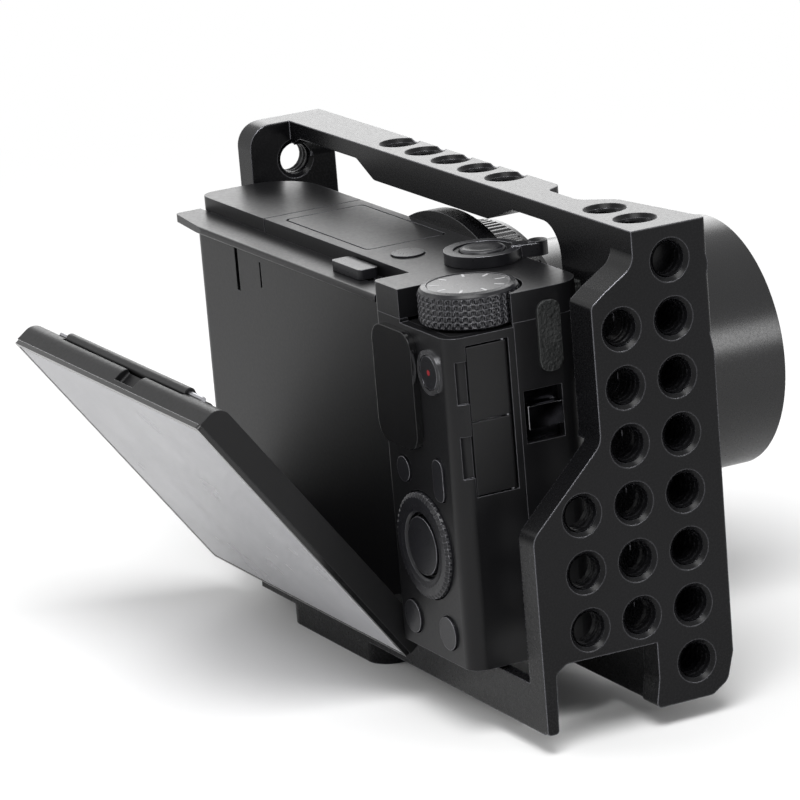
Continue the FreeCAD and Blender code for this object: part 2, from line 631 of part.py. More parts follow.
def mode_dial():
    """Mode dial and its shaft."""
    x, y = DIAL
    knob = rod(DIAL_R, (x, y, DIAL_FLOOR + 0.3), (x, y, DIAL_TOP))
    edges = [e for e in knob.Edges if abs(e.BoundBox.ZMin - DIAL_TOP) < 1e-6 and e.BoundBox.ZLength < 1e-6]
    knob = knob.makeFillet(0.5, edges)
    return knob.fuse(rod(DIAL_SHAFT_R, (x, y, DIAL_FLOOR - 3.0), (x, y, DIAL_FLOOR + 0.3)))


def shutter_button():
    """Shutter button with the collar that keeps it under the roof."""
    x, y = SHUTTER
    cap = rod(SHUTTER_R, (x, y, CAM_TOP - 2.6), (x, y, CAM_TOP + 2.2))
    return cap.fuse(rod(SHUTTER_R + 0.4, (x, y, CAM_TOP - 2.6), (x, y, CAM_TOP - ROOF - 0.1)))


def zoom_lever():
    """Ring round the shutter button with a finger tab."""
    x, y = SHUTTER
    low, high = CAM_TOP + 0.1, CAM_TOP + 1.9
    ring = rod(ZOOM_R, (x, y, low), (x, y, high))
    angle = math.radians(ZOOM_ANGLE)
    tip = V(x + ZOOM_REACH * math.cos(angle), y + ZOOM_REACH * math.sin(angle), low)
    tab = Part.makeCylinder(1.5, high + 0.5 - low, tip, Z_AXIS)
    bridge = block(0, ZOOM_REACH, -1.5, 1.5, low, high + 0.2)
    bridge.rotate(V(0, 0, 0), Z_AXIS, ZOOM_ANGLE)
    bridge.translate(V(x, y, 0))
    return fused([ring, bridge, tab]).cut(rod(SLEEVE_R + 0.08, (x, y, low - 1), (x, y, high + 3)))


def power_button():
    """Power button in the deck."""
    x, y = POWER
    cap = rod(POWER_R, (x, y, CAM_TOP - 2.4), (x, y, CAM_TOP + 0.3))
    return cap.fuse(rod(POWER_R + 0.6, (x, y, CAM_TOP - 2.4), (x, y, CAM_TOP - ROOF - 0.1)))


def evf_cover():
    """Lid of the pop-up finder: the left end of the deck."""
    cap = slab("xy", top_plan(0.0), BROW_TOP + 0.1, CAM_TOP)
    hollow = slab("xy", top_plan(1.2), BROW_TOP - 1, CAM_TOP - 1.1)
    left = block(CAM_LEFT - 1, EVF_X, -30, 30, 0, 80)
    rim = block(EVF_X - 1.2, EVF_X, DECK_BACK, CAM_FRONT, BROW_TOP + 0.1, CAM_TOP)
    return cap.cut(hollow).common(left).fuse(rim.common(cap)).removeSplitter()


def evf_block():
    """Finder housing that rises with the lid, with its eyepiece window at the back."""
    x0, x1, y0, y1 = EVF_BLOCK
    body = slab("xy", round_rect(x0, x1, y0, y1, 1.5), 50.0, CAM_TOP - 1.1)
    eye = slab("xz", round_rect(x0 + 5.0, x1 - 5.0, 54.5, 63.0, 1.0), y0 - 1, y0 + 3.0)
    return body.cut(eye)


def flash_cover():
    """Lid of the flash."""
    return slab("xy", flash_corners(0.0), CAM_TOP - ROOF, CAM_TOP)


def flash_head():
    """Flash reflector box under its lid."""
    box = block(-9.0, 14.5, 1.0, 7.5, 63.5, CAM_TOP - ROOF)
    stem = block(-10.8, -8.2, 1.0, 6.5, 50.5, CAM_TOP - ROOF)
    return fused([box, stem]).cut(block(-7.5, 13.0, 6.2, 8.0, 64.3, CAM_TOP - ROOF - 0.8))


def battery_door():
    """Door under the battery, hinged at its inner end."""
    x0, x1, y0, y1 = BAY
    axis_x, axis_z = x0 + 1.4, CAM_BOTTOM + 1.1
    plate = block(axis_x, x1 - 0.2, y0 + 0.2, y1 - 0.2, CAM_BOTTOM, CAM_BOTTOM + 1.3)
    barrel = rod(1.0, (axis_x, y0 + 0.2, axis_z), (axis_x, y1 - 0.2, axis_z))
    return plate.fuse(barrel).removeSplitter().cut(rod(0.5, (axis_x, y0 - 1, axis_z), (axis_x, y1 + 1, axis_z)))


def battery_pin():
    """Hinge pin of the battery door, seated in the case."""
    x0, _, y0, y1 = BAY
    return rod(0.44, (x0 + 1.4, y0, CAM_BOTTOM + 1.1), (x0 + 1.4, y1, CAM_BOTTOM + 1.1))


def battery():
    """Battery standing above its door."""
    return slab("xy", round_rect(37.2, 51.4, -6.0, 8.0, 1.5), CAM_BOTTOM + WALL, 56.0)


def main_board():
    """Circuit board behind the lens."""
    return block(-37.4, 34.0, PANEL + WALL, PANEL + WALL + BOARD_T, 14.0, 62.0)


def lens_housing():
    """Fixed tube of the lens inside the camera, closed at the back."""
    x, z = LENS
    back = PANEL + WALL + BOARD_T
    shape = tube(LENS_HOUSING_R, BARREL_1_R + 0.35, (x, back, z), (x, CAM_FRONT, z))
    return shape.fuse(rod(LENS_HOUSING_R, (x, back, z), (x, back + 0.8, z))).common(
        block(-60, 80, -30, 30, CAM_BOTTOM + WALL + 0.2, SPLIT_Z - 0.8))


def image_sensor():
    """Image sensor on the back wall of the lens housing."""
    x, z = LENS
    y = PANEL + WALL + BOARD_T + 0.8
    return block(x - 8.0, x + 8.0, y, y + 1.2, z - 6.5, z + 6.5)


def lens_flange():
    """Round shoulder on the camera's front with the collar that carries the control ring."""
    x, z = LENS
    disc = rod(FLANGE_R, (x, CAM_FRONT, z), (x, FLANGE_FRONT, z))
    disc = disc.common(block(-60, 80, 0, 30, CAM_BOTTOM + 0.8, 90))
    collar = rod(COLLAR_R, (x, FLANGE_FRONT, z), (x, RING_FRONT + 0.2, z))
    return disc.fuse(collar).cut(rod(BARREL_1_R + 0.35, (x, 0, z), (x, 40, z)))


def control_ring():
    """Ribbed ring that turns on the collar."""
    x, z = LENS
    return tube(RING_R, COLLAR_R + 0.08, (x, FLANGE_FRONT + 0.2, z), (x, RING_FRONT, z))


def barrel_rear():
    """First sliding tube of the lens."""
    x, z = LENS
    shape = tube(BARREL_1_R, BARREL_1_R - BARREL_WALL, (x, BARREL_STEP - BARREL_LENGTH, z), (x, BARREL_STEP, z))
    return shape


def barrel_front():
    """Second sliding tube, with the front rim."""
    x, z = LENS
    shape = tube(BARREL_2_R, BARREL_2_R - 1.2, (x, BARREL_FRONT - BARREL_LENGTH, z), (x, BARREL_FRONT, z))
    return shape


def name_ring():
    """Plain ring inside the front rim that holds the front glass."""
    x, z = LENS
    return tube(BARREL_2_R - 1.2, FRONT_GLASS_R, (x, BARREL_FRONT - 4.0, z), (x, BARREL_FRONT - 0.8, z))


def lens_element(radius, y, bulge, edge):
    """Glass with one domed face and one flat face, its axis along the lens."""
    x, z = LENS
    sphere_r = (radius * radius + bulge * bulge) / (2 * bulge)
    ball = Part.makeSphere(sphere_r, V(x, y + bulge - sphere_r, z))
    return ball.common(rod(radius, (x, y - edge, z), (x, y + bulge + 1, z)))


def front_lens():
    """Front glass."""
    return lens_element(FRONT_GLASS_R, BARREL_FRONT - 3.6, 2.0, 1.4)


def middle_lens():
    """Second glass with its holder, inside the front tube."""
    x, z = LENS
    y = BARREL_FRONT - 18.0
    glass = lens_element(9.0, y, 1.6, 2.2)
    holder = tube(BARREL_2_R - 1.2, 9.0, (x, y - 2.2, z), (x, y - 0.4, z))
    return Part.makeCompound([glass, holder])


def tilted(shape):
    """Turn a closed screen part about the lower hinge to the rest pose."""
    turned = shape.copy()
    turned.rotate(V(0, *HINGE), X_AXIS, TILT)
    return turned


def hinge_spans():
    """Places of the lower hinge's fixed knuckles along X."""
    return ((-31.0, -26.5), (25.5, 30.0))


def hinge_lugs():
    """Fixed knuckles of the lower hinge on the camera's panel."""
    y, z = HINGE
    solids = []
    for x0, x1 in hinge_spans():
        knuckle = rod(BARREL_R, (x0, y, z), (x1, y, z))
        foot = block(x0, x1, y, PANEL, z - 0.6, z + BARREL_R + 1.6)
        arm = knuckle.fuse(foot).removeSplitter()
        solids.append(arm.cut(rod(PIN_R - PRESS, (x0 - 1, y, z), (x1 + 1, y, z))))
    return Part.makeCompound(solids)


def hinge_pin():
    """Pin through the lower hinge."""
    x0, x1 = hinge_spans()[0][0], hinge_spans()[1][1]
    return rod(PIN_R, (x0, *HINGE), (x1, *HINGE))


def hinge_plate():
    """Steel plate between camera and screen, with a rolled edge on each hinge."""
    y, z = HINGE
    x0, x1 = hinge_spans()[0][1] + 0.3, hinge_spans()[1][0] - 0.3
    plate_y = SCREEN_FACE + SCREEN_T + 0.15
    flip_y, flip_z = FLIP
    sheet = slab("xz", round_rect(x0, x1, z, flip_z, 0.0), plate_y, plate_y + PLATE_T)
    rolls = [rod(BARREL_R, (x0, y, z), (x1, y, z)), rod(0.95, (x0 + 3, flip_y, flip_z), (x1 - 3, flip_y, flip_z))]
    corners = [block(x - 3, x + 3, plate_y - 1, plate_y + 2, flip_z - 2.2, flip_z + 0.01) for x in (x0, x1)]
    shape = fused([sheet.cut(Part.makeCompound(corners))] + rolls)
    shape = shape.cut(rod(PIN_R + 0.06, (x0 - 1, y, z), (x1 + 1, y, z)))
    return shape.cut(rod(0.5, (x0 - 1, flip_y, flip_z), (x1 + 1, flip_y, flip_z)))


def flip_pin():
    """Pin of the upper hinge, fixed in the screen."""
    flip_y, flip_z = FLIP
    return rod(0.44, (-27.0, flip_y, flip_z), (27.0, flip_y, flip_z))


def screen_profile(inset):
    """Screen seen from its end: flat display side, rounded towards the camera."""
    face, back = SCREEN_FACE + inset, SCREEN_FACE + SCREEN_T - inset
    low, high = SCREEN_BOTTOM + inset, SCREEN_TOP - inset
    return [(face, low, 0.4), (back, low, 3.2 - inset), (back, high, 2.4 - inset), (face, high, 0.4)]


def screen_shell():
    """Rear housing of the screen, open towards the display, with room for both hinges."""
    y, z = HINGE
    flip_y, flip_z = FLIP
    body = slab("yz", screen_profile(0.0), SCREEN_LEFT, SCREEN_RIGHT)
    inner = block(SCREEN_LEFT + 1.0, SCREEN_RIGHT - 1.0, SCREEN_FACE - 1, SCREEN_FACE + 3.6,
                  SCREEN_BOTTOM + 3.6, SCREEN_TOP - 2.6)
    rim = block(SCREEN_LEFT - 1, SCREEN_RIGHT + 1, SCREEN_FACE - 1, SCREEN_FACE + BEZEL, 0, 90)
    lower = rod(BARREL_R + 0.35, (hinge_spans()[0][0] - 0.4, y, z), (hinge_spans()[1][1] + 0.4, y, z))
    lower = lower.fuse(block(hinge_spans()[0][0] - 0.4, hinge_spans()[1][1] + 0.4, y, y + 3, z - 3.2, z + 3.4))
    upper = rod(1.25, (-23.6, flip_y, flip_z), (22.6, flip_y, flip_z))
    upper = upper.fuse(block(-23.6, 22.6, flip_y - 1.05, flip_y + 1, flip_z, SCREEN_TOP + 1))
    pin = rod(0.44, (-27.0, flip_y, flip_z), (27.0, flip_y, flip_z))
    notch = slab("xz", round_rect(2.0, 9.0, SCREEN_TOP - 1.3, SCREEN_TOP + 2, 0.5), SCREEN_FACE + 1.6, 0.0)
    return body.cut(Part.makeCompound([inner, rim])).cut(Part.makeCompound([lower, upper, pin, notch]))


def screen_bezel():
    """Thin frame round the glass of the display."""
    frame = slab("xz", round_rect(SCREEN_LEFT, SCREEN_RIGHT, SCREEN_BOTTOM, SCREEN_TOP, 0.6),
                 SCREEN_FACE, SCREEN_FACE + BEZEL)
    opening = slab("xz", round_rect(*glass_box(FIT), 0.4), SCREEN_FACE - 1, SCREEN_FACE + 2)
    return frame.cut(opening)


def glass_box(gap):
    """Limits of the display glass along X and Z."""
    return (SCREEN_LEFT + 1.0 - gap, SCREEN_RIGHT - 1.0 + gap, SCREEN_BOTTOM + 0.6 - gap, SCREEN_TOP - 0.9 + gap)


def screen_glass():
    """Cover glass of the display."""
    return slab("xz", round_rect(*glass_box(0.0), 0.4), SCREEN_FACE + 0.05, SCREEN_FACE + BEZEL)


def display_panel():
    """Display behind the glass."""
    return block(SCREEN_LEFT + 2.2, SCREEN_RIGHT - 2.2, SCREEN_FACE + BEZEL, SCREEN_FACE + BEZEL + 1.8,
                 SCREEN_BOTTOM + 4.0, SCREEN_TOP - 3.0)


def nodes():
    """Every sub-part by its name."""
    low, middle, high = DOOR_Z
    shapes = {
        "cage_frame": cage_frame(), "camera_screw": camera_screw(), "screw_clip": screw_clip(),
        "screw_ring": screw_ring(), "base_pad": base_pad(), "front_pads": front_pads(),
        "rear_shell": rear_shell(), "front_shell": front_shell(), "top_cover": top_cover(),
        "rear_brow": rear_brow(), "thumb_rest": thumb_rest(), "grip_pad": grip_pad(),
        "strap_lugs": strap_lugs(), "case_screws": case_screws(), "tripod_socket": tripod_socket(),
        "port_sockets": port_sockets(), "door_pin": door_pin(), "port_door_lower": port_door(low, middle),
        "port_door_upper": port_door(middle, high), "battery_door": battery_door(),
        "battery_pin": battery_pin(), "battery": battery(), "main_board": main_board(),
        "image_sensor": image_sensor(), "lens_housing": lens_housing(), "lens_flange": lens_flange(),
        "control_ring": control_ring(), "barrel_rear": barrel_rear(), "barrel_front": barrel_front(),
        "name_ring": name_ring(), "front_lens": front_lens(), "middle_lens": middle_lens(),
        "evf_cover": evf_cover(), "evf_block": evf_block(), "flash_cover": flash_cover(),
        "flash_head": flash_head(), "flash_switch": flash_switch(), "power_button": power_button(),
        "shutter_button": shutter_button(), "zoom_lever": zoom_lever(), "mode_dial": mode_dial(),
        "dial_base": dial_base(), "movie_ring": movie_ring(), "menu_button": menu_button(),
        "movie_button": push_button(MOVIE, BUTTON_R, 0.3), "fn_button": push_button(FN, FN_R, 0.4),
        "play_button": push_button(PLAY, BUTTON_R, 0.4), "delete_button": push_button(DELETE, BUTTON_R, 0.4),
        "wheel_base": wheel_base(), "control_wheel": control_wheel(), "centre_button": centre_button(),
        "hinge_lugs": hinge_lugs(), "hinge_pin": hinge_pin(),
    }
    for make in (hinge_plate, flip_pin, screen_shell, screen_bezel, screen_glass, display_panel):
        shapes[make.__name__] = tilted(make())
    return shapes


def main():
    """Write every sub-part and print what it measures."""
    os.makedirs("parts", exist_ok=True)
    for name, shape in sorted(nodes().items()):
        box = shape.BoundBox
        print(f"{name:16s} solids {len(shape.Solids)} valid {shape.isValid()} volume {shape.Volume:9.1f}"
              f"  x {box.XMin:6.1f} {box.XMax:6.1f}  y {box.YMin:6.1f} {box.YMax:6.1f}"
              f"  z {box.ZMin:6.1f} {box.ZMax:6.1f}")
        shape.exportStep(f"parts/{name}.step")


if __name__ == "__main__":
    main()
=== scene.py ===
"""Camera cage closed round a compact camera: finishes, threads, knurls, floor, light and camera."""

import json
import logging
import math
from dataclasses import dataclass
from enum import Enum
from typing import Any

import bmesh
import bpy
import numpy as np
from mathutils import Matrix, Vector

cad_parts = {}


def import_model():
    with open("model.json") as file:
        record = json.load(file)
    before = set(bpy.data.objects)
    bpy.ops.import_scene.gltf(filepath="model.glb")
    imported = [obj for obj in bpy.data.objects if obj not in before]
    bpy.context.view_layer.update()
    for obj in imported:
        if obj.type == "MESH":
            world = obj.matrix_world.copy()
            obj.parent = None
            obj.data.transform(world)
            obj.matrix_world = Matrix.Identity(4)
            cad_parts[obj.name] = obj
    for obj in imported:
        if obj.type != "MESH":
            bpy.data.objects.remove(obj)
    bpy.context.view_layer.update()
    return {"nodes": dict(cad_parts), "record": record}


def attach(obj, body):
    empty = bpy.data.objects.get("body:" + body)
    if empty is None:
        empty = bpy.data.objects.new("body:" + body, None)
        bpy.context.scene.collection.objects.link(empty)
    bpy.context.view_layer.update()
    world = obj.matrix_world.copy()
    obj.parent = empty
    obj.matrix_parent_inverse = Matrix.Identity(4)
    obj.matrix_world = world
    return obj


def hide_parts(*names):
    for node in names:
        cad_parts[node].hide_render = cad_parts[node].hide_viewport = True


LOG = logging.getLogger("camera_cage")
MM = 0.001
MERGE_MM = 0.001
RIB_STEEPNESS = 2.2
Place = tuple[float, float, float]
Profile = tuple[tuple[float, float, float], ...]


class Axis(Enum):
    """Directions that a turned piece may stand in."""

    Y = (2, 0, 1)
    Z = (0, 1, 2)


def linear(code: str) -> tuple[float, float, float, float]:
    """Turn an sRGB colour into the linear values that a shader takes.

    Args:
        code: the colour as six hex digits.

    Returns:
        Red, green and blue from 0 to 1, and an alpha of 1.
    """
    parts = [int(code[i : i + 2], 16) / 255 for i in (0, 2, 4)]
    out = [c / 12.92 if c <= 0.04045 else ((c + 0.055) / 1.055) ** 2.4 for c in parts]
    return (out[0], out[1], out[2], 1.0)


def add_node(tree: bpy.types.NodeTree, kind: str, inputs: dict[Any, Any],
             **settings: Any) -> bpy.types.Node:
    """Add one shader node with its settings, values and links.

    Args:
        tree: the tree that the node goes into.
        kind: the node's type.
        inputs: value or output socket for each input, by name or number.
        settings: the node's own options.

    Returns:
        The new node.
    """
    made = tree.nodes.new(kind)
    for name, value in settings.items():
        setattr(made, name, value)
    for name, value in inputs.items():
        if isinstance(value, bpy.types.NodeSocket):
            tree.links.new(value, made.inputs[name])
        else:
            made.inputs[name].default_value = value
    return made


def seen_rays(tree: bpy.types.NodeTree) -> bpy.types.NodeSocket:
    """Tell rays that show the background from rays that light the object.

    Args:
        tree: the tree that the nodes go into.

    Returns:
        A socket that is 1 for camera, glossy and transmission rays, and 0 for the rest.
    """
    ray = add_node(tree, "ShaderNodeLightPath", {}).outputs
    some = add_node(
        tree, "ShaderNodeMath", {0: ray["Is Camera Ray"], 1: ray["Is Glossy Ray"]}, operation="MAXIMUM"
    )
    every = add_node(
        tree, "ShaderNodeMath", {0: some.outputs[0], 1: ray["Is Transmission Ray"]}, operation="MAXIMUM"
    )
    return every.outputs[0]


@dataclass(frozen=True)
class Finish:
    """One finish: what the surface is made of and how it was worked.

    The colour wanders between two near shades in soft patches, the grain is a fine bump, and
    along sharp edges the surface turns to a lighter colour: in part rubbed bare metal, in part a
    painted highlight, the bright line that edges catch from the light, laid alike on all edges.
    """

    name: str
    shade: str
    shade_2: str
    roughness: float = 0.4
    metallic: float = 0.0
    grain_mm: float = 0.12
    grain_depth: float = 0.15
    # Lighter colour along sharp edges: partly rubbed bare metal, partly a painted highlight.
    edge_wear_and_highlight: str = ""
    edge_mm: float = 0.3
    coat: float = 0.0
    specular: float = 0.5
    bare_edge: float = 0.0
    grain_height_mm: float = 0.05
    streak: tuple[float, float, float] = (1.0, 1.0, 1.0)
    patch_mm: float = 14.0
    noise_span: float = 4.0
    rough_spread: float = 0.08
    coat_roughness: float = 0.08
    flat_cosine: float = 0.97
    edge_cosine: float = 0.80

    def make(self) -> bpy.types.Material:
        """Build the material.

        Returns:
            The material, ready to go into a slot.
        """
        material = bpy.data.materials.new(self.name)
        material.use_nodes = True
        tree = material.node_tree
        tree.nodes.clear()
        place = add_node(tree, "ShaderNodeTexCoord", {}).outputs["Object"]
        patches = add_node(
            tree, "ShaderNodeTexNoise", {"Vector": place, "Scale": 1 / (self.patch_mm * MM), "Detail": 3.0}
        )
        drawn = add_node(tree, "ShaderNodeMapping", {"Vector": place, "Scale": self.streak})
        grain = add_node(
            tree, "ShaderNodeTexNoise",
            {"Vector": drawn.outputs[0], "Scale": 1 / (self.grain_mm * self.noise_span * MM), "Detail": 4.0},
        )
        body = add_node(
            tree, "ShaderNodeMix",
            {0: patches.outputs[0], 6: linear(self.shade), 7: linear(self.shade_2)}, data_type="RGBA",
        ).outputs[2]
        rough = add_node(
            tree, "ShaderNodeMapRange",
            {"Value": grain.outputs[0], "To Min": self.roughness - self.rough_spread,
             "To Max": self.roughness + self.rough_spread},
        ).outputs[0]
        bump = add_node(
            tree, "ShaderNodeBump",
            {"Height": grain.outputs[0], "Strength": self.grain_depth,
             "Distance": self.grain_height_mm * MM},
        )
        metal: Any = self.metallic
        # Painted highlight in part: all sharp edges turn to the lighter colour and more metal, whatever the
        # light.
        if self.edge_wear_and_highlight:
            soft = add_node(tree, "ShaderNodeBevel", {"Radius": self.edge_mm * MM}, samples=6)
            true = add_node(tree, "ShaderNodeNewGeometry", {})
            same = add_node(
                tree, "ShaderNodeVectorMath", {0: soft.outputs[0], 1: true.outputs["True Normal"]},
                operation="DOT_PRODUCT",
            )
            rim = add_node(
                tree, "ShaderNodeMapRange",
                {"Value": same.outputs["Value"], "From Min": self.flat_cosine, "From Max": self.edge_cosine},
            ).outputs[0]
            body = add_node(
                tree, "ShaderNodeMix", {0: rim, 6: body, 7: linear(self.edge_wear_and_highlight)}, data_type="RGBA"
            ).outputs[2]
            metal = add_node(
                tree, "ShaderNodeMapRange",
                {"Value": rim, "To Min": self.metallic, "To Max": max(self.metallic, self.bare_edge)},
            ).outputs[0]
            tree.links.new(soft.outputs[0], bump.inputs["Normal"])
        shader = add_node(
            tree, "ShaderNodeBsdfPrincipled",
            {"Base Color": body, "Roughness": rough, "Metallic": metal,
             "Coat Weight": self.coat, "Coat Roughness": self.coat_roughness,
             "Specular IOR Level": self.specular, "Normal": bump.outputs[0]},
        )
        add_node(tree, "ShaderNodeOutputMaterial", {"Surface": shader.outputs[0]})
        return material


@dataclass(frozen=True)
class ClearGlass:
    """Coated optical glass: clear, with a cool tint of its coating."""

    name: str = "coated_glass"
    shade: str = "C9D2E6"
    coating: str = "9AA8FF"
    ior: float = 1.52
    coat: float = 0.4
    smear_mm: float = 6.0
    smear_roughness: float = 0.06

    def make(self) -> bpy.types.Material:
        """Build the material.

        Returns:
            The material, ready to go into a slot.
        """
        material = bpy.data.materials.new(self.name)
        material.use_nodes = True
        tree = material.node_tree
        tree.nodes.clear()
        place = add_node(tree, "ShaderNodeTexCoord", {}).outputs["Object"]
        smear = add_node(
            tree, "ShaderNodeTexNoise", {"Vector": place, "Scale": 1 / (self.smear_mm * MM), "Detail": 2.0}
        )
        rough = add_node(
            tree, "ShaderNodeMapRange",
            {"Value": smear.outputs[0], "To Min": 0.0, "To Max": self.smear_roughness},
        )
        shader = add_node(
            tree, "ShaderNodeBsdfPrincipled",
            {"Base Color": linear(self.shade), "Roughness": rough.outputs[0], "Transmission Weight": 1.0,
             "IOR": self.ior, "Coat Weight": self.coat, "Coat Tint": linear(self.coating)},
        )
        add_node(tree, "ShaderNodeOutputMaterial", {"Surface": shader.outputs[0]})
        return material


@dataclass(frozen=True)
class WhiteCard:
    """Matt white card: it takes the object's shadow, and far off it is lit as the backdrop is."""

    name: str = "white_matt_card"
    shade: str = "F8F8F8"
    roughness: float = 0.9
    near: float = 0.16
    far: float = 0.42

    def make(self) -> bpy.types.Material:
        """Build the material.

        Returns:
            The material, ready to go into a slot.
        """
        material = bpy.data.materials.new(self.name)
        material.use_nodes = True
        tree = material.node_tree
        tree.nodes.clear()
        place = add_node(tree, "ShaderNodeTexCoord", {}).outputs["Object"]
        away = add_node(tree, "ShaderNodeVectorMath", {0: place}, operation="LENGTH").outputs["Value"]
        fade = add_node(
            tree, "ShaderNodeMapRange", {"Value": away, "From Min": self.near, "From Max": self.far},
            interpolation_type="SMOOTHSTEP",
        )
        share = add_node(
            tree, "ShaderNodeMath", {0: fade.outputs[0], 1: seen_rays(tree)}, operation="MULTIPLY"
        )
        card = add_node(
            tree, "ShaderNodeBsdfPrincipled", {"Base Color": linear(self.shade), "Roughness": self.roughness}
        )
        lit = add_node(tree, "ShaderNodeEmission", {"Color": linear("FFFFFF"), "Strength": 1.0})
        both = add_node(
            tree, "ShaderNodeMixShader", {0: share.outputs[0], 1: card.outputs[0], 2: lit.outputs[0]}
        )
        add_node(tree, "ShaderNodeOutputMaterial", {"Surface": both.outputs[0]})
        return material


# Anodised aluminium, bead blasted: a dry satin black that brightens at a grazing look. Its edges and
# hole chamfers turn a light metal grey, partly bare aluminium and partly a painted highlight of the
# bright lines and crescents that chamfers catch from the light.
CAGE = Finish(
    "black_anodised_aluminium", "0C0C0D", "121214", roughness=0.27, metallic=0.0, grain_mm=0.10,
    grain_depth=0.10, edge_wear_and_highlight="75757A", edge_mm=0.34, specular=0.14, bare_edge=0.9,
)
# Painted light alloy: even fine satin black. Its edges turn lighter, partly a polished chamfer and
# partly a painted highlight of the bright line along the top cover.
CASE = Finish(
    "black_painted_alloy", "0F0F10", "151517", roughness=0.36, metallic=0.0, grain_mm=0.14,
    grain_depth=0.14, edge_wear_and_highlight="75757A", edge_mm=0.15, specular=0.2, bare_edge=0.5,
)
# Moulded ABS, polished: gloss black.
GLOSS = Finish(
    "polished_black_abs", "0C0C0D", "111112", roughness=0.16, metallic=0.0, grain_mm=0.3,
    grain_depth=0.03, edge_wear_and_highlight="2A2A2C", edge_mm=0.2, coat=0.3, specular=0.3,
)
# Moulded ABS, spark textured: matt black.
MATT = Finish(
    "textured_black_abs", "101011", "171718", roughness=0.42, metallic=0.0, grain_mm=0.16,
    grain_depth=0.25, edge_wear_and_highlight="333336", edge_mm=0.2, specular=0.2,
)
# Turned aluminium, dark anodised: controls with bright edges, partly worn metal and partly a
# painted highlight of the glints that the knurls catch.
CONTROL = Finish(
    "dark_anodised_controls", "17171A", "1F1F22", roughness=0.30, metallic=0.0, grain_mm=0.10,
    grain_depth=0.10, edge_wear_and_highlight="8E8E93", edge_mm=0.16, specular=0.25, bare_edge=0.8,
)
# Turned aluminium, fine satin black, with the drag of the tool round it.
BARREL = Finish(
    "satin_black_barrel", "0D0D0E", "141416", roughness=0.26, metallic=0.2, grain_mm=0.10,
    grain_depth=0.06, edge_wear_and_highlight="3E3E42", edge_mm=0.18,
)
# Bright chrome plate.
CHROME = Finish(
    "bright_chrome", "C8C8CC", "DCDCE0", roughness=0.14, metallic=1.0, grain_mm=0.2,
    grain_depth=0.03,
)
# Black chrome plate on the strap lugs: dark, with bright edges, partly worn and partly a painted
# highlight of the bright line and lip that catch the light.
DARK_CHROME = Finish(
    "black_chrome", "1C1C1F", "28282B", roughness=0.22, metallic=1.0, grain_mm=0.2,
    grain_depth=0.05, edge_wear_and_highlight="A8A8AC", edge_mm=0.2,
)
# Stainless steel, brushed along X.
STEEL = Finish(
    "brushed_stainless_steel", "8E8E92", "A2A2A6", roughness=0.3, metallic=1.0, grain_mm=0.08,
    grain_depth=0.2, streak=(0.05, 1.0, 1.0),
)
# Nitrile rubber, moulded grain: a dull charcoal with coarse pips.
RUBBER = Finish(
    "grained_rubber", "141515", "202222", roughness=0.58, metallic=0.0, grain_mm=0.16,
    grain_depth=1.0, edge_wear_and_highlight="4C4E4E", edge_mm=0.25, grain_height_mm=0.35,
)
# Glass over a sleeping display: a pale mid grey base colour, smooth. The grey is a painted reflection:
# it stands in for the white surroundings mirrored in the dark screen, whose own reflection is turned low.
DISPLAY = Finish(
    "display_glass_painted_reflection", "939396", "A3A3A6", roughness=0.25, metallic=0.0, grain_mm=2.5,
    grain_depth=0.02, edge_wear_and_highlight="4A4A4C", edge_mm=0.25, specular=0.15,
)
# Red paint, dotted on a dyed resin button.
MARK = Finish(
    "red_paint_dot", "86161E", "961C24", roughness=0.35, metallic=0.0, grain_mm=0.2,
    grain_depth=0.05,
)
# Printed tick marks in pale ink.
INK = Finish(
    "pale_print", "A9A9AB", "BCBCBE", roughness=0.5, metallic=0.0, grain_mm=0.2, grain_depth=0.02,
)
# Circuit board laminate with green lacquer.
BOARD = Finish(
    "green_lacquered_board", "0E3A22", "14492C", roughness=0.4, metallic=0.0, grain_mm=0.3,
    grain_depth=0.2,
)
# Shrink sleeve of the battery.
CELL = Finish(
    "grey_cell_sleeve", "2B2B2D", "343437", roughness=0.45, metallic=0.0, grain_mm=0.2,
    grain_depth=0.1,
)
# Ribbed clear polycarbonate before a bright reflector.
FLASH = Finish(
    "clear_ribbed_polycarbonate", "C8CACC", "E0E2E4", roughness=0.12, metallic=0.4, grain_mm=0.5,
    grain_depth=0.3,
)

SLOT_FINISH: dict[str, Any] = {
    "cage_black": CAGE, "steel": STEEL, "rubber": RUBBER, "case_black": CASE, "trim_gloss": GLOSS,
    "trim_matt": MATT, "controls": CONTROL, "chrome": CHROME, "red_dot": CONTROL, "barrel_black": BARREL,
    "glass": ClearGlass(), "display": DISPLAY, "board": BOARD, "cell": CELL, "flash_clear": FLASH,
}
SPECIAL_FINISH: dict[str, Finish] = {
    "strap_lugs": DARK_CHROME, "screen_glass": DISPLAY, "hinge_plate": MATT, "hinge_lugs": MATT,
    "screen_shell": MATT,
}


class Palette:
    """Materials by finish, each built once."""

    def __init__(self) -> None:
        """Start with no materials."""
        self.made: dict[str, bpy.types.Material] = {}

    def get(self, finish: Any) -> bpy.types.Material:
        """Give the material of a finish.

        Args:
            finish: the finish wanted.

        Returns:
            Its material.
        """
        if finish.name not in self.made:
            self.made[finish.name] = finish.make()
        return self.made[finish.name]


def grid_faces(rows: int, columns: int, offset: int = 0) -> np.ndarray:
    """Quads of a grid that is closed round its columns.

    Args:
        rows: points along the first parameter.
        columns: points round the second parameter.
        offset: number of the grid's first point.

    Returns:
        Four point numbers for each quad.
    """
    i, j = np.meshgrid(np.arange(rows - 1), np.arange(columns), indexing="ij")
    k = (j + 1) % columns
    near, far = i * columns, (i + 1) * columns
    quads = np.stack([near + j, near + k, far + k, far + j], axis=-1)
    return quads.reshape(-1, 4) + offset


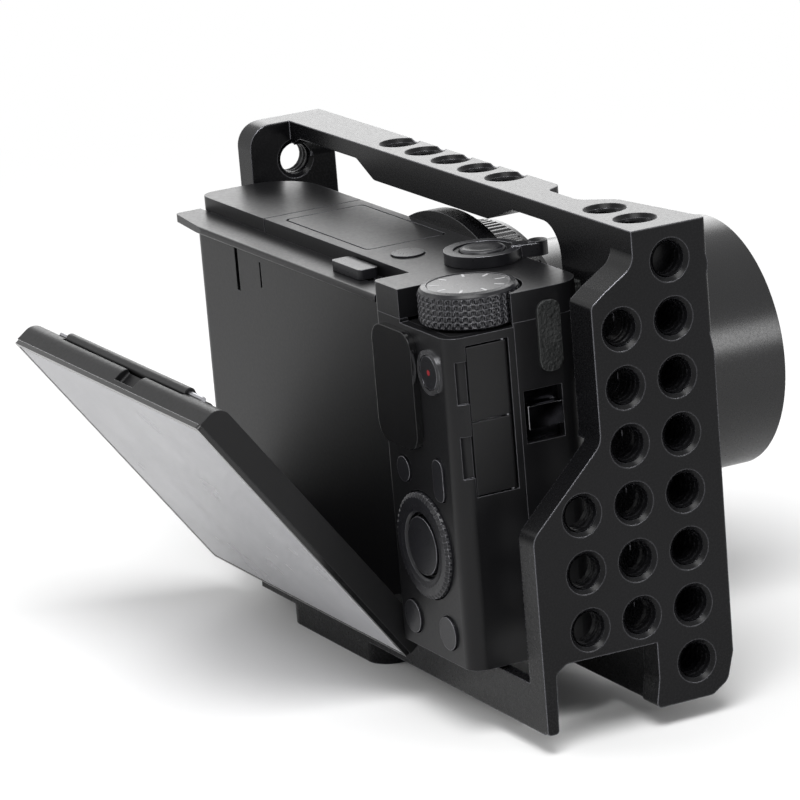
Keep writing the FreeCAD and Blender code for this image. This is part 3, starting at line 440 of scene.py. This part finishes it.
def weld(mesh: bpy.types.Mesh) -> None:
    """Merge the points that lie together at poles and seams.

    Args:
        mesh: the mesh to close.
    """
    work = bmesh.new()
    work.from_mesh(mesh)
    bmesh.ops.remove_doubles(work, verts=work.verts[:], dist=MERGE_MM * MM)
    work.to_mesh(mesh)
    work.free()


def mesh_piece(name: str, points: np.ndarray, faces: np.ndarray, body: str,
               material: bpy.types.Material, smooth: bool = True) -> bpy.types.Object:
    """Make one object from arrays and let it ride on a body.

    Args:
        name: the piece's name.
        points: places in millimetres, one row each.
        faces: point numbers of each quad.
        body: the body that carries the piece.
        material: the finish.
        smooth: whether faces are shaded smooth.

    Returns:
        The new object.
    """
    mesh = bpy.data.meshes.new(name)
    mesh.from_pydata((points * MM).tolist(), [], faces.tolist())
    weld(mesh)
    mesh.polygons.foreach_set("use_smooth", np.full(len(mesh.polygons), smooth))
    mesh.materials.append(material)
    mesh.update()
    made = bpy.data.objects.new(name, mesh)
    bpy.context.scene.collection.objects.link(made)
    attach(made, body)
    LOG.info("%s: %d points on body %s", name, len(points), body)
    return made


def turned(centre: Place, axis: Axis, profile: Profile, columns: int,
           ripples: int) -> tuple[np.ndarray, np.ndarray]:
    """Turned surface: radius = profile radius + depth x wave, carried round the axis.

    The wave is steepness x cosine of (ripples x angle), held between -1 and 1.

    Args:
        centre: the point on the axis that heights are counted from.
        axis: direction of the axis.
        profile: radius, height and ripple depth of each profile point.
        columns: points round the axis.
        ripples: number of ribs round the axis.

    Returns:
        Points in millimetres and their quads.
    """
    shape = np.array(profile)
    angle = np.linspace(0, 2 * math.pi, columns, endpoint=False)
    wave = np.clip(RIB_STEEPNESS * np.cos(ripples * angle), -1, 1)
    radius = shape[:, :1] + shape[:, 2:3] * wave[None, :]
    points = np.zeros((len(profile), columns, 3))
    first, second, along = axis.value
    points[..., first] = radius * np.cos(angle)
    points[..., second] = radius * np.sin(angle)
    points[..., along] = shape[:, 1:2]
    points += np.array(centre)
    return points.reshape(-1, 3), grid_faces(len(profile), columns)


@dataclass
class TapThreads:
    """Screw threads inside the tapped holes of the frame."""

    palette: Palette
    pitch: float = 9.0
    lead: float = 1.27
    radius: float = 2.79
    depth: float = 0.30
    chamfer: float = 0.65
    columns: int = 24
    rows_per_turn: int = 8
    side_first: Place = (72.0, 17.1, 72.4)
    side_runs: tuple[tuple[int, int, int, float], ...] = (
        (0, 0, 1, 3.2), (0, 1, 8, 8.0), (1, 1, 7, 3.6), (2, 4, 7, 3.6),
    )
    beam_first: Place = (-11.3, 15.8, 77.8)
    beam_count: int = 5
    beam_length: float = 4.6
    corner_first: Place = (55.8, 15.8, 77.8)
    corner_count: int = 2
    corner_length: float = 8.0
    left_mouth: Place = (-46.9, 11.4, 71.2)
    left_length: float = 3.6
    foot_x: float = 11.3
    foot_length: float = 9.5

    def holes(self) -> list[tuple[Place, Place, float]]:
        """Give mouth, inward direction and threaded length of each hole.

        Returns:
            One entry for each tapped hole.
        """
        found = []
        x, y, z = self.side_first
        for column, first, last, length in self.side_runs:
            for row in range(first, last):
                mouth = (x, y - self.pitch * column, z - self.pitch * row)
                found.append((mouth, (-1.0, 0.0, 0.0), length))
        for (x, y, z), count, length in (
            (self.beam_first, self.beam_count, self.beam_length),
            (self.corner_first, self.corner_count, self.corner_length),
        ):
            for i in range(count):
                found.append(((x + self.pitch * i, y, z), (0.0, 0.0, -1.0), length))
        found.append((self.left_mouth, (1.0, 0.0, 0.0), self.left_length))
        for side in (-1, 1):
            found.append(((self.foot_x * side, 0.0, 0.0), (0.0, 0.0, 1.0), self.foot_length))
        return found

    def thread(self, mouth: Place, inward: Place, length: float) -> np.ndarray:
        """Work out one thread: radius = bore - depth x triangle wave of (distance / lead - turn).

        Args:
            mouth: centre of the hole's mouth.
            inward: direction into the hole.
            length: threaded length.

        Returns:
            Grid of points, rows along the hole.
        """
        rows = int(length / self.lead * self.rows_per_turn) + 1
        along = np.linspace(0.0, length, rows)[:, None] + np.zeros((1, self.columns))
        turn = np.linspace(0, 2 * math.pi, self.columns, endpoint=False)
        angle = turn[None, :] + np.zeros((rows, 1))
        phase = np.mod(along / self.lead - angle / (2 * math.pi), 1.0)
        radius = self.radius - self.depth * (1 - np.abs(2 * phase - 1))
        direction = np.array(inward)
        side = np.array([0.0, 1.0, 0.0])
        other = np.cross(direction, side)
        start = np.array(mouth) + direction * self.chamfer
        return (start + along[..., None] * direction + radius[..., None]
                * (np.cos(angle)[..., None] * side + np.sin(angle)[..., None] * other))

    def build(self) -> None:
        """Make all threads as one piece."""
        points, faces, offset = [], [], 0
        for mouth, inward, length in self.holes():
            grid = self.thread(mouth, inward, length)
            faces.append(grid_faces(grid.shape[0], self.columns, offset))
            points.append(grid.reshape(-1, 3))
            offset += len(points[-1])
        mesh_piece("tap_threads", np.concatenate(points), np.concatenate(faces)[:, ::-1], "cage",
                   self.palette.get(CAGE))


@dataclass
class TurnedControls:
    """Knurled dial, ribbed wheel, lens ring and shutter button, with their marks.

    A profile gives radius, height and ripple depth of each point, from the inside round to the
    inside again, in millimetres.
    """

    palette: Palette
    dial: Place = (50.8, -5.9, 0.0)
    dial_radius: float = 7.62
    dial_shaft: float = 1.5
    dial_foot: float = 60.4
    dial_floor: float = 63.7
    dial_face: float = 69.25
    dial_ribs: int = 38
    dial_rib_points: int = 12
    knurl_span: tuple[float, float] = (64.1, 68.6)
    knurl_rows: int = 5
    knurl_steps: int = 6
    knurl_depth: float = 0.21
    tick_count: int = 9
    tick_span: tuple[float, float] = (4.3, 5.9)
    tick_half: float = 0.2
    tick_height: float = 69.27
    wheel: Place = (46.7, 0.0, 28.75)
    wheel_ribs: int = 48
    wheel_profile: Profile = (
        (5.2, -13.2, 0), (5.2, -14.9, 0), (5.5, -15.25, 0), (6.2, -15.3, 0), (6.5, -15.35, 0.1),
        (7.7, -15.35, 0.1), (8.3, -15.0, 0.08), (8.38, -14.6, 0), (8.38, -13.2, 0), (5.2, -13.2, 0),
    )
    lens: Place = (13.5, 0.0, 40.9)
    lens_ribs: int = 120
    rib_points: int = 6
    lens_profile: Profile = (
        (24.6, 13.2, 0), (26.6, 13.2, 0), (27.1, 13.5, 0), (27.05, 14.2, 0), (27.0, 14.3, 0.18),
        (27.0, 19.3, 0.18), (27.05, 19.4, 0), (27.1, 20.1, 0), (26.6, 20.4, 0), (24.6, 20.4, 0),
        (24.6, 13.2, 0),
    )
    shutter: Place = (36.9, 4.35, 0.0)
    shutter_points: int = 64
    shutter_profile: Profile = (
        (0.0, 66.0, 0), (4.0, 66.0, 0), (4.0, 67.1, 0), (3.6, 67.1, 0), (3.6, 70.2, 0), (3.4, 70.6, 0),
        (2.8, 70.78, 0), (1.5, 70.6, 0), (0.0, 70.5, 0),
    )
    movie: Place = (52.6, 0.0, 57.3)
    dot_points: int = 32
    dot_profile: Profile = ((0.45, -14.71, 0), (0.0, -14.76, 0))

    def knurl(self) -> Profile:
        """Rows of points up the dial's rim: ripple depth = knurl depth x |sine of (pi x row / step)|.

        Returns:
            Radius, height and ripple depth of each row.
        """
        rows = self.knurl_rows * self.knurl_steps
        low, high = self.knurl_span
        heights = [low + (high - low) * i / rows for i in range(rows + 1)]
        depths = [self.knurl_depth * abs(math.sin(math.pi * i / self.knurl_steps)) for i in range(rows + 1)]
        return tuple((self.dial_radius, height, depth) for height, depth in zip(heights, depths))

    def dial_profile(self) -> Profile:
        """Give the dial's outline, from its shaft up round the knurl to its dished face.

        Returns:
            Radius, height and ripple depth of each point.
        """
        r, face = self.dial_radius, self.dial_face
        return (
            (0.0, self.dial_foot, 0), (self.dial_shaft, self.dial_foot, 0),
            (self.dial_shaft, self.dial_floor, 0), (r - 0.4, self.dial_floor, 0),
            (r, self.dial_floor + 0.3, 0), *self.knurl(), (r - 0.05, face - 0.45, 0),
            (r - 0.4, face - 0.05, 0), (r - 1.2, face + 0.15, 0), (r - 1.4, face, 0), (0.0, face, 0),
        )

    def build(self) -> None:
        """Make every turned control."""
        metal, satin = self.palette.get(CONTROL), self.palette.get(BARREL)
        points, faces = turned(
            self.dial, Axis.Z, self.dial_profile(), self.dial_ribs * self.dial_rib_points, self.dial_ribs
        )
        made = mesh_piece("dial_knob", points, faces, "dial", metal, False)
        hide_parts("mode_dial")
        points, faces = turned(
            self.wheel, Axis.Y, self.wheel_profile, self.wheel_ribs * self.rib_points, self.wheel_ribs
        )
        made = mesh_piece("wheel_knob", points, faces, "wheel", metal, False)
        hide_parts("control_wheel")
        points, faces = turned(
            self.lens, Axis.Y, self.lens_profile, self.lens_ribs * self.rib_points, self.lens_ribs
        )
        made = mesh_piece("ribbed_lens_ring", points, faces, "lens_ring", satin, False)
        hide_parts("control_ring")
        points, faces = turned(self.shutter, Axis.Z, self.shutter_profile, self.shutter_points, 1)
        made = mesh_piece("shutter_cap", points, faces, "shutter", metal)
        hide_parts("shutter_button")

    def marks(self) -> None:
        """Print ticks on the dial and the paint dot on the movie button."""
        points, faces = [], []
        near, far = self.tick_span
        centre = np.array(self.dial[:2])
        for i in range(self.tick_count):
            angle = 2 * math.pi * i / self.tick_count
            along = np.array([math.cos(angle), math.sin(angle)])
            across = np.array([-along[1], along[0]]) * self.tick_half
            start, end = centre + along * near, centre + along * far
            flat = (start - across, end - across, end + across, start + across)
            faces.append([len(points) + corner for corner in range(4)])
            points += [(p[0], p[1], self.tick_height) for p in flat]
        ink, paint = self.palette.get(INK), self.palette.get(MARK)
        mesh_piece("dial_ticks", np.array(points), np.array(faces), "dial", ink)
        dot, quads = turned(self.movie, Axis.Y, self.dot_profile, self.dot_points, 1)
        mesh_piece("movie_dot", dot, quads[:, ::-1], "movie", paint)


@dataclass(frozen=True)
class Softbox:
    """One square soft light: its place and side in metres, and its power in watts."""

    name: str
    place: Place
    size: float
    watts: float


@dataclass
class Studio:
    """Pale floor, soft light, and the camera at the photograph's angle."""

    azimuth: float = 63.573
    elevation: float = 15.199
    roll: float = -4.854
    focal_px: float = 4632.1
    picture_px: float = 800.0
    sensor_mm: float = 36.0
    clip_m: tuple[float, float] = (0.01, 20.0)
    shift: Place = (4.4516, 2.3188, 76.528)
    pitch: float = 9.0
    origin: Place = (72.0, 17.1, 72.4)
    ambient: float = 0.35
    floor_half: float = 3000.0
    floor_z: float = -0.02
    aim_m: Place = (0.015, 0.0, 0.04)
    softboxes: tuple[Softbox, ...] = (
        Softbox("top_softbox", (0.40, -0.20, 0.85), 0.5, 7.0),
        Softbox("rear_softbox", (-0.5, -0.8, 0.5), 0.7, 3.0),
        Softbox("far_softbox", (-0.85, 0.45, 0.45), 0.6, 3.0),
        Softbox("barrel_strip", (0.88, 0.44, 0.26), 0.26, 2.4),
    )

    def camera(self) -> None:
        """Place the camera: position = origin - pitch x (right, up and forward parts of the shift)."""
        a, e, r = (math.radians(v) for v in (self.azimuth, self.elevation, self.roll))
        right = Vector((math.cos(a), math.sin(a), 0))
        back = Vector((math.sin(a) * math.cos(e), -math.cos(a) * math.cos(e), math.sin(e)))
        up = back.cross(right)
        right_2 = math.cos(r) * right + math.sin(r) * up
        up_2 = -math.sin(r) * right + math.cos(r) * up
        place = Vector(self.origin) - self.pitch * (
            self.shift[0] * right_2 + self.shift[1] * up_2 - self.shift[2] * back)
        data = bpy.data.cameras.new("camera")
        data.sensor_width = self.sensor_mm
        data.lens = self.focal_px / self.picture_px * self.sensor_mm
        data.clip_start, data.clip_end = self.clip_m
        made = bpy.data.objects.new("camera", data)
        turn = Matrix((right_2, up_2, back)).transposed().to_4x4()
        made.matrix_world = Matrix.Translation(place * MM) @ turn
        bpy.context.scene.collection.objects.link(made)
        bpy.context.scene.camera = made

    def lamp(self, box: Softbox) -> None:
        """Add one soft light, aimed at the object's middle.

        Args:
            box: the light wanted.
        """
        data = bpy.data.lights.new(box.name, "AREA")
        data.size, data.energy = box.size, box.watts
        made = bpy.data.objects.new(box.name, data)
        aim = Vector(self.aim_m) - Vector(box.place)
        turn = aim.to_track_quat("-Z", "Y").to_matrix().to_4x4()
        made.matrix_world = Matrix.Translation(box.place) @ turn
        bpy.context.scene.collection.objects.link(made)

    def build(self, palette: Palette) -> None:
        """Make floor, world, lamps and camera.

        Args:
            palette: where the floor's finish comes from.
        """
        half, low = self.floor_half, self.floor_z
        corners = ((-half, -half), (half, -half), (half, half), (-half, half))
        points = np.array([(x, y, low) for x, y in corners])
        mesh = bpy.data.meshes.new("floor")
        mesh.from_pydata((points * MM).tolist(), [], [(0, 1, 2, 3)])
        mesh.materials.append(palette.get(WhiteCard()))
        floor = bpy.data.objects.new("floor", mesh)
        bpy.context.scene.collection.objects.link(floor)
        world = bpy.data.worlds.new("studio")
        world.use_nodes = True
        tree = world.node_tree
        tree.nodes.clear()
        level = add_node(
            tree, "ShaderNodeMapRange", {"Value": seen_rays(tree), "To Min": self.ambient, "To Max": 1.0}
        )
        sky = add_node(
            tree, "ShaderNodeBackground", {"Color": linear("FFFFFF"), "Strength": level.outputs[0]}
        )
        add_node(tree, "ShaderNodeOutputWorld", {"Surface": sky.outputs[0]})
        bpy.context.scene.world = world
        for box in self.softboxes:
            self.lamp(box)
        bpy.context.scene.view_settings.view_transform = "Standard"
        self.camera()


def dress_nodes(frame: dict[str, Any], palette: Palette) -> None:
    """Give every CAD node the finish of its material slot.

    Args:
        frame: the loaded frame.
        palette: where the materials come from.
    """
    for entry in frame["record"]["subparts"]:
        name = entry["node"]
        finish = SPECIAL_FINISH.get(name, SLOT_FINISH[entry["material_slot"]])
        mesh = frame["nodes"][name].data
        mesh.materials.clear()
        mesh.materials.append(palette.get(finish))
        LOG.info("%s wears %s", name, finish.name)


def main() -> None:
    """Dress the frame, add the new pieces and set the studio."""
    logging.basicConfig(level=logging.INFO)
    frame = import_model()
    palette = Palette()
    dress_nodes(frame, palette)
    TapThreads(palette).build()
    controls = TurnedControls(palette)
    controls.build()
    controls.marks()
    Studio().build(palette)


if __name__ == "__main__":
    main()
